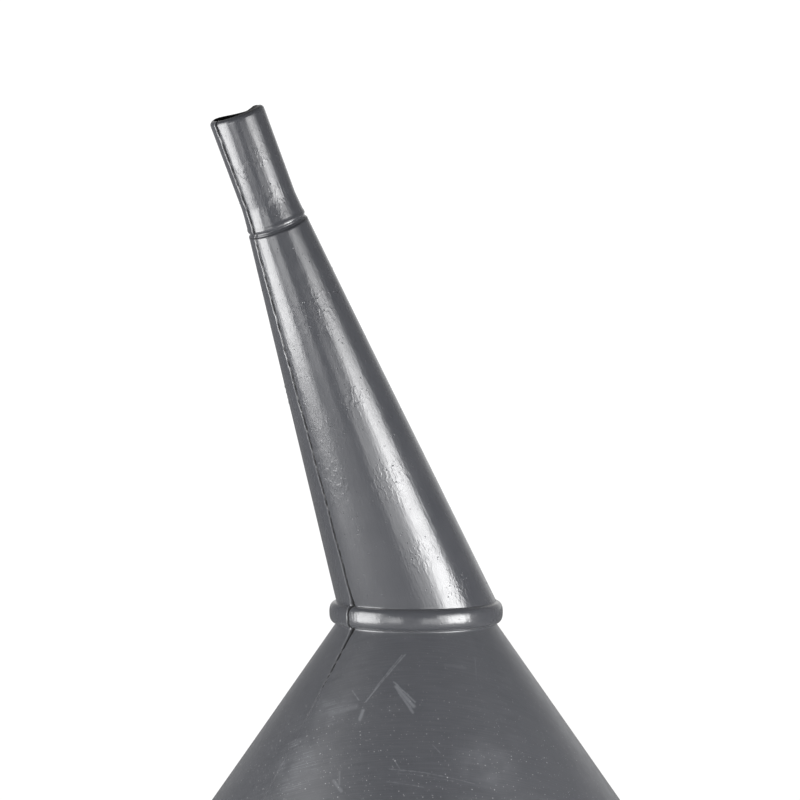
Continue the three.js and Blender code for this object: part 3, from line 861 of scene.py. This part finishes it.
def grey_moulding():
    """The funnel's plastic: mottled grey, scuffed, wiped and dusty on the cone, with painted reflections of
    the softboxes in pale patches on the cone, painted shade in the seam's crack and in the bore, and a painted
    highlight on the seam's lip.
    """
    n = Nodes("grey_moulding")
    height = n.split(n.place)["Z"]
    on_cone = n.remap(height, NECK_HEIGHT - 0.7 * MM, NECK_HEIGHT + 0.3 * MM, 1.0, 0.0)
    colour = n.mix(n.remap(n.noise(70, 3), 0.3, 0.7, 0.0, 0.3, "LINEAR"), GREY, GREY_MOTTLE)
    flat = unrolled_cone(n)
    marks = n.math("MULTIPLY", handling_marks(n, flat), on_cone)
    # The pale patches are painted reflections of the softboxes, partly real wipe marks.
    wiped_and_reflected = n.math("MULTIPLY", wipes_and_reflections(n, flat), on_cone)
    scuffs_and_reflections = n.math("MAXIMUM", marks, wiped_and_reflected)
    colour = n.mix(scuffs_and_reflections, colour, SCUFF_AND_REFLECTION)
    low_cone = n.remap(height, NECK_HEIGHT - 50 * MM, NECK_HEIGHT - 14 * MM, 0.5, 0.12)
    fine = n.math("MULTIPLY", dust(n, 900, 0.24 * MM), 0.55)
    specks = n.math("MAXIMUM", n.math("MULTIPLY", dust(n, 500, 0.34 * MM), 0.75), fine)
    specks = n.math("MULTIPLY", n.math("MULTIPLY", specks, low_cone), on_cone)
    colour = n.mix(specks, colour, DUST)
    seam = n.attribute("seam")
    # Painted highlight: the seam's raised lip is lightened.
    lip_highlight = n.remap(seam, -0.25, -0.9, 0.0, 0.36)
    colour = n.mix(lip_highlight, colour, LIP_HIGHLIGHT)
    # Painted shade: the seam's crack and the inside of the tip are darkened to near black.
    crack = n.remap(seam, 0.08, 0.4)
    painted_shade = n.math("MAXIMUM", crack, n.attribute("bore"))
    n.put(n.shader.inputs["Base Color"], n.mix(painted_shade, colour, PAINTED_SHADE))
    grain = n.remap(n.noise(240, 3), 0.3, 0.7, 0.2, 0.27, "LINEAR")
    rough = n.math("MULTIPLY_ADD", on_cone, 0.12, grain)
    worn = n.math("MULTIPLY_ADD", scuffs_and_reflections, 0.25, rough)
    n.put(n.shader.inputs["Roughness"], n.math("MULTIPLY_ADD", painted_shade, 0.5, worn, clamp=True))
    n.shader.inputs["IOR"].default_value = 1.54
    n.shader.inputs["Sheen Weight"].default_value = 0.07
    n.shader.inputs["Sheen Roughness"].default_value = 0.4
    off_cone = n.math("SUBTRACT", 1.0, on_cone)
    n.put(n.shader.inputs["Normal"], moulded_skin(n, off_cone))
    return n.material


def black_moulding():
    """The strainer's plastic: near black, with a fine matt grain and paler rubbed patches."""
    n = Nodes("black_moulding")
    rubbed = n.remap(n.noise(110, 4, 0.6), 0.5, 0.75)
    colour = n.mix(rubbed, (0.011, 0.0115, 0.013, 1), (0.022, 0.0225, 0.024, 1))
    specks = n.math("MULTIPLY", dust(n, 420, 0.25 * MM), 0.35)
    n.put(n.shader.inputs["Base Color"], n.mix(specks, colour, DUST))
    n.put(n.shader.inputs["Roughness"], n.remap(n.noise(300, 3), 0.3, 0.7, 0.34, 0.5, "LINEAR"))
    n.put(n.shader.inputs["Normal"], n.bump(n.noise(1400, 2), 0.35, 0.06 * MM))
    return n.material


def drawn_metal(name, colour, tarnish, share):
    """Drawn wire: metal with tarnish in patches and fine draw marks."""
    n = Nodes(name)
    patches = n.remap(n.noise(90, 4, 0.6), 0.42, 0.7, 0.0, share)
    n.put(n.shader.inputs["Base Color"], n.mix(patches, colour, tarnish))
    n.shader.inputs["Metallic"].default_value = 1.0
    n.put(n.shader.inputs["Roughness"], n.remap(n.noise(500, 3), 0.3, 0.7, 0.2, 0.38, "LINEAR"))
    n.put(n.shader.inputs["Normal"], n.bump(n.noise(2400, 2), 0.2, 0.02 * MM))
    return n.material


# ---------------------------------------------------------------- the strainer


def cone_at(radius):
    """The bowl's inner cone: its height at a radius."""
    return NECK_HEIGHT - (radius - NECK_RADIUS + BOWL_WALL / math.cos(CONE_ANGLE)) / CONE_SLOPE


def strainer_frame(material):
    """The spigot that sits in the throat, its skirt and seat, and the ribs and hub that back the gauze."""
    corners = [
        (OPEN_RADIUS, SEAT_HEIGHT), (SEAT_RADIUS, SEAT_HEIGHT), (SEAT_RADIUS, STEP_HEIGHT),
        (SKIRT_RADIUS, STEP_HEIGHT), (SPIGOT_RADIUS, cone_at(SPIGOT_RADIUS + 0.45 * MM)),
        (SPIGOT_RADIUS, SPIGOT_TOP - 0.8 * MM), (SPIGOT_RADIUS - 0.6 * MM, SPIGOT_TOP),
        (SPIGOT_RADIUS - 2 * MM, SPIGOT_TOP), (SPIGOT_RADIUS - 2 * MM, NECK_HEIGHT - 2.2 * MM),
        (OPEN_RADIUS, NECK_HEIGHT - 7 * MM),
    ]
    piece = turned_ring("strainer_frame_fine", [tuple(p) for p in rounded(corners, 0.45 * MM)])
    half, foot, top = RIB_WIDTH / 2, SEAT_HEIGHT + 0.02 * MM, SEAT_HEIGHT + RIB_HEIGHT
    section = rounded([(-half, foot), (half, foot), (half * 0.8, top), (-half * 0.8, top)], 0.4 * MM)
    rib = prism("strainer_rib", section, 1 * MM, OPEN_RADIUS + 1 * MM, lambda u, v, w: (w, u, v))
    grow(rib, round_tree("strainer_ribs", material), {"Count": RIB_COUNT})
    hub_top = (SEAT_HEIGHT + RIB_HEIGHT + 0.6 * MM) / MM
    hub_foot = foot / MM
    radius = HUB_RADIUS / MM
    hub = turned_solid("strainer_hub", [
        (0, hub_foot), (radius - 0.5, hub_foot), (radius, hub_foot + 0.5), (radius, hub_top - 1.2),
        (radius - 0.35, hub_top - 0.4), (radius - 1.1, hub_top), (0, hub_top),
    ], 48)
    combine(piece, hub, "UNION")
    join_meshes(piece, rib)
    soften_edges(piece, 38)
    return piece


def strainer_retainer(material):
    """The snap ring under the gauze: a flat ring with a lip, and two lugs that carry the bail."""
    base, lip_top = RETAINER_LOW.z + LUG_DROP, STEP_HEIGHT - 0.3 * MM
    top = base + 2.6 * MM
    corners = [
        (OPEN_RADIUS, base), (RETAINER_HIGH.x, base), (RETAINER_HIGH.x, top - 0.5 * MM),
        (SKIRT_RADIUS, top + 0.4 * MM), (SKIRT_RADIUS, lip_top), (SEAT_RADIUS + 0.3 * MM, lip_top),
        (SEAT_RADIUS + 0.3 * MM, top), (OPEN_RADIUS, top),
    ]
    piece = turned_ring("strainer_retainer_fine", [tuple(p) for p in rounded(corners, 0.4 * MM)])
    half = LUG_LENGTH / 2
    foot, head = RETAINER_LOW.z, base + 1 * MM
    ends = [(-half, foot), (half, foot), (half, head), (-half, head)]
    section = rounded(ends, 1.6 * MM, 8)
    near, far = LUG_MIDDLE - LUG_THICKNESS / 2, LUG_MIDDLE + LUG_THICKNESS / 2
    lug = prism("strainer_lug", section, near, far, lambda u, v, w: (u, w, v))
    turns = np.linspace(0, 2 * math.pi, 32, endpoint=False)
    bore = [(BAIL_HOLE_RADIUS * math.cos(a), BAIL_PIVOT + BAIL_HOLE_RADIUS * math.sin(a)) for a in turns]
    pin = prism("strainer_pin_hole", bore, near - 1 * MM, far + 1 * MM, lambda u, v, w: (u, w, v))
    combine(lug, pin, "DIFFERENCE")
    grow(lug, round_tree("strainer_lugs", material), {"Count": 2})
    join_meshes(piece, lug)
    soften_edges(piece, 38)
    return piece


def strainer_gauze(material):
    """Brass wire cloth, cut to the disc that the seat and the snap ring hold."""
    piece = new_piece("strainer_gauze_fine", [], [])
    wires = 2 * int(GAUZE_HIGH.x / GAUZE_PITCH) + 1
    return grow(piece, gauze_tree(material), {
        "Radius": GAUZE_HIGH.x - 0.15 * MM, "Pitch": GAUZE_PITCH, "Wire radius": GAUZE_WIRE,
        "Wave": GAUZE_WIRE * 1.04,
        "Height": (GAUZE_LOW.z + GAUZE_HIGH.z) / 2, "Wires": wires, "Wire points": 3 * (wires - 1) + 1,
    })


def bail_path():
    """The wire's middle line as (y, z), from one pin's end to the other's."""
    bend_y, bend_z = BAIL_ARCH_RADIUS + BAIL_BEND_RADIUS, BAIL_PIVOT - BAIL_BEND_RADIUS
    arch_z = BAIL_PIVOT - BAIL_LEG
    pin = [(y, BAIL_PIVOT) for y in np.linspace(BAIL_HIGH.y, bend_y, 8)]
    bend = [
        (bend_y + BAIL_BEND_RADIUS * math.cos(a), bend_z + BAIL_BEND_RADIUS * math.sin(a))
        for a in np.linspace(math.pi / 2, math.pi, 10)[1:]
    ]
    leg = [(BAIL_ARCH_RADIUS, z) for z in np.linspace(bend_z, arch_z, 6)[1:]]
    arch = [
        (BAIL_ARCH_RADIUS * math.cos(a), arch_z - BAIL_ARCH_RADIUS * math.sin(a))
        for a in np.linspace(0, math.pi, 56)[1:-1]
    ]
    half = pin + bend + leg
    return np.array(half + arch + [(-y, z) for y, z in half[::-1]])


def strainer_bail():
    """The wire handle: a pin through each lug, a bend, a leg and the arch between the legs."""
    path = bail_path()
    sizes = np.ones(len(path))
    sizes[[0, -1]] = 0.72
    path[[1, -2], 0] = np.array([1, -1]) * (BAIL_HIGH.y - 0.3 * MM)
    runs = np.gradient(path, axis=0)
    runs /= np.linalg.norm(runs, axis=1)[:, None]
    turns = np.linspace(0, 2 * math.pi, 16, endpoint=False)
    vertices = []
    for (y, z), (run_y, run_z), size in zip(path, runs, sizes):
        for turn in turns:
            across, out = BAIL_WIRE * size * math.cos(turn), BAIL_WIRE * size * math.sin(turn)
            vertices.append((across, y - run_z * out, z + run_y * out))
    faces = shell_faces(len(path), len(turns), closed=False)
    last = (len(path) - 1) * len(turns)
    faces += [tuple(range(len(turns)))[::-1], tuple(range(last, last + len(turns)))]
    piece = new_piece("strainer_bail_fine", vertices, faces)
    soften_edges(piece, 40)
    return piece


# ---------------------------------------------------------------- studio


BACKDROP_TURN = math.radians(9)
FLOOR_REACH = 8.0
FLOOR_DROP = 0.2 * MM
FLOOR_MIDDLE = 0.14


def softbox(name, azimuth, distance, width, height, levels, edge=0.12):
    """An upright panel of light that stands on the floor and faces the funnel's axis.

    Azimuth is to the right of the camera. Levels give the panel's brightness at shares of its height, and it
    fades over a share of its width and height at its sides and top.
    """
    strength = max(level for _, level in levels)
    data = bpy.data.lights.new(name, "AREA")
    data.shape = "RECTANGLE"
    data.size = width
    data.size_y = height
    data.energy = strength * width * height * math.pi
    angle = math.radians(azimuth)
    outward = TOWARDS_CAMERA * math.cos(angle) + CAMERA_RIGHT * math.sin(angle)
    lamp = bpy.data.objects.new(name, data)
    lamp.location = outward * distance + Vector((0, 0, height / 2 + 1 * MM))
    lamp.rotation_euler = outward.to_track_quat("Z", "Y").to_euler()
    lamp.visible_camera = False
    bpy.context.collection.objects.link(lamp)
    data.use_nodes = True
    n = Nodes(None, data.node_tree)
    across = n.split(n.add("ShaderNodeNewGeometry").outputs["Parametric"])
    ramp = n.add("ShaderNodeValToRGB", {"Fac": across["Y"]})
    ramp.color_ramp.interpolation = "EASE"
    ramp.color_ramp.elements.remove(ramp.color_ramp.elements[1])
    for i, (share, level) in enumerate(levels):
        element = ramp.color_ramp.elements[0] if i == 0 else ramp.color_ramp.elements.new(share)
        element.position = share
        element.color = [level / strength] * 3 + [1]
    level = ramp.outputs["Color"]
    for axis, end in (("X", 0.0), ("X", 1.0), ("Y", 1.0)):
        level = n.math("MULTIPLY", level, n.remap(across[axis], end, abs(end - edge)))
    n.put(data.node_tree.nodes["Emission"].inputs["Strength"], level)


def add_world():
    """A white backdrop behind the funnel that glancing surfaces reflect, dim elsewhere, and seen as white."""
    world = bpy.data.worlds.new("studio")
    bpy.context.scene.world = world
    world.use_nodes = True
    n = Nodes(None, world.node_tree)
    direction = n.add("ShaderNodeTexCoord").outputs["Generated"]
    behind = CAMERA_RIGHT * math.sin(BACKDROP_TURN) - TOWARDS_CAMERA * math.cos(BACKDROP_TURN)
    facing = n.vector("DOT_PRODUCT", direction, behind, "Value")
    wide = n.remap(facing, 0.3, 0.62, 0.13, 0.2)
    backdrop = n.remap(facing, 0.62, 0.93, 0.0, 0.24)
    middle = n.remap(facing, 0.82, 0.995, 0.0, 0.5)
    level = n.math("ADD", n.math("ADD", wide, backdrop), middle)
    level = n.math("MAXIMUM", level, n.remap(n.split(direction)["Z"], -0.05, -0.6, 0.0, 0.9))
    seen = n.add("ShaderNodeLightPath").outputs["Is Camera Ray"]
    shown = n.remap(seen, 0.0, 1.0, level, 1.1, "LINEAR")
    n.put(world.node_tree.nodes["Background"].inputs["Strength"], shown)
    world.node_tree.nodes["Background"].inputs["Color"].default_value = (1, 1, 1, 1)


def add_floor():
    """A pale floor that fades to plain white away from the funnel.

    It is open under the funnel and clear from underneath, so that the inside shows from below.
    """
    turns = np.linspace(0, 2 * math.pi, 96, endpoint=False)
    radii = (FLOOR_REACH, FLANGE_RADIUS)
    corners = [(r * math.cos(a), r * math.sin(a), -FLOOR_DROP) for r in radii for a in turns]
    floor = new_piece("floor", corners, shell_faces(2, len(turns), closed=False))
    if floor.data.polygons[0].normal.z < 0:
        floor.data.flip_normals()
    n = Nodes("pale_floor")
    distance = n.vector("DISTANCE", n.place, TOWARDS_CAMERA * FLOOR_MIDDLE, "Value")
    away = n.remap(distance, 0.36, 0.49)
    seen = n.add("ShaderNodeLightPath").outputs["Is Camera Ray"]
    n.put(n.shader.inputs["Base Color"], n.mix(seen, (0.5, 0.5, 0.5, 1), (0.8, 0.8, 0.8, 1)))
    n.shader.inputs["Roughness"].default_value = 0.6
    glow = n.add("ShaderNodeEmission", {"Color": (1, 1, 1, 1), "Strength": n.remap(seen, 0, 1, 0.23, 1.05)})
    paler = n.math("MAXIMUM", away, n.math("MULTIPLY", seen, 0.45))
    blend = n.add("ShaderNodeMixShader", {"Fac": paler})
    n.link(n.shader.outputs[0], blend, 1)
    n.link(glow.outputs[0], blend, 2)
    clear = n.add("ShaderNodeBsdfTransparent")
    under = n.add("ShaderNodeMixShader", {"Fac": n.add("ShaderNodeNewGeometry").outputs["Backfacing"]})
    n.link(blend.outputs[0], under, 1)
    n.link(clear.outputs[0], under, 2)
    n.link(under.outputs[0], n.tree.nodes["Material Output"], "Surface")
    floor.data.materials.append(n.material)


def add_studio():
    """Two tall softboxes, a strip, a card and a panel round the funnel, then the backdrop and the floor."""
    softbox("left_softbox", -67, 0.5, 0.38, 0.5, [(0, 17), (0.3, 13), (0.6, 11), (0.85, 4)])
    softbox("right_softbox", 55, 0.55, 0.35, 0.5, [(0, 21), (0.38, 20), (0.62, 8), (0.85, 0.5)])
    softbox("right_strip", 34, 0.55, 0.11, 0.34, [(0.1, 5), (0.5, 8), (0.95, 7)])
    softbox("right_card", 17, 0.5, 0.22, 0.16, [(0, 3.6), (1, 4.6)])
    softbox("left_panel", -29, 0.62, 0.28, 0.28, [(0.1, 6), (0.4, 5.5), (0.75, 2.2)])
    add_world()
    add_floor()
    bpy.context.scene.view_settings.view_transform = "Standard"


# ---------------------------------------------------------------- assembly

grey = grey_moulding()
black = black_moulding()
brass = drawn_metal("brass_wire", (0.62, 0.42, 0.16, 1), (0.3, 0.17, 0.06, 1), 0.5)
steel = drawn_metal("steel_wire", (0.56, 0.57, 0.58, 1), (0.36, 0.34, 0.31, 1), 0.4)

body = funnel_moulding()
grow(body, speck_tree(grey), {
    "Density": 120000.0, "Patch size": 24 * MM, "Smallest": 0.12 * MM, "Largest": 0.36 * MM, "Seed": 7,
})

PIECES = [
    (body, "funnel_body", "grey_moulding", "funnel", grey),
    (strainer_frame(black), "strainer_frame", "black_moulding", "strainer", black),
    (strainer_gauze(brass), "strainer_gauze", "brass_wire", "strainer", brass),
    (strainer_retainer(black), "strainer_retainer_ring", "black_moulding", "strainer", black),
    (strainer_bail(), "strainer_bail", "steel_wire", "bail", steel),
]
for piece, node, slot, rides_on, material in PIECES:
    piece.data.materials.clear()
    piece.data.materials.append(material)
    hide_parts(node)
    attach(piece, rides_on)

add_studio()
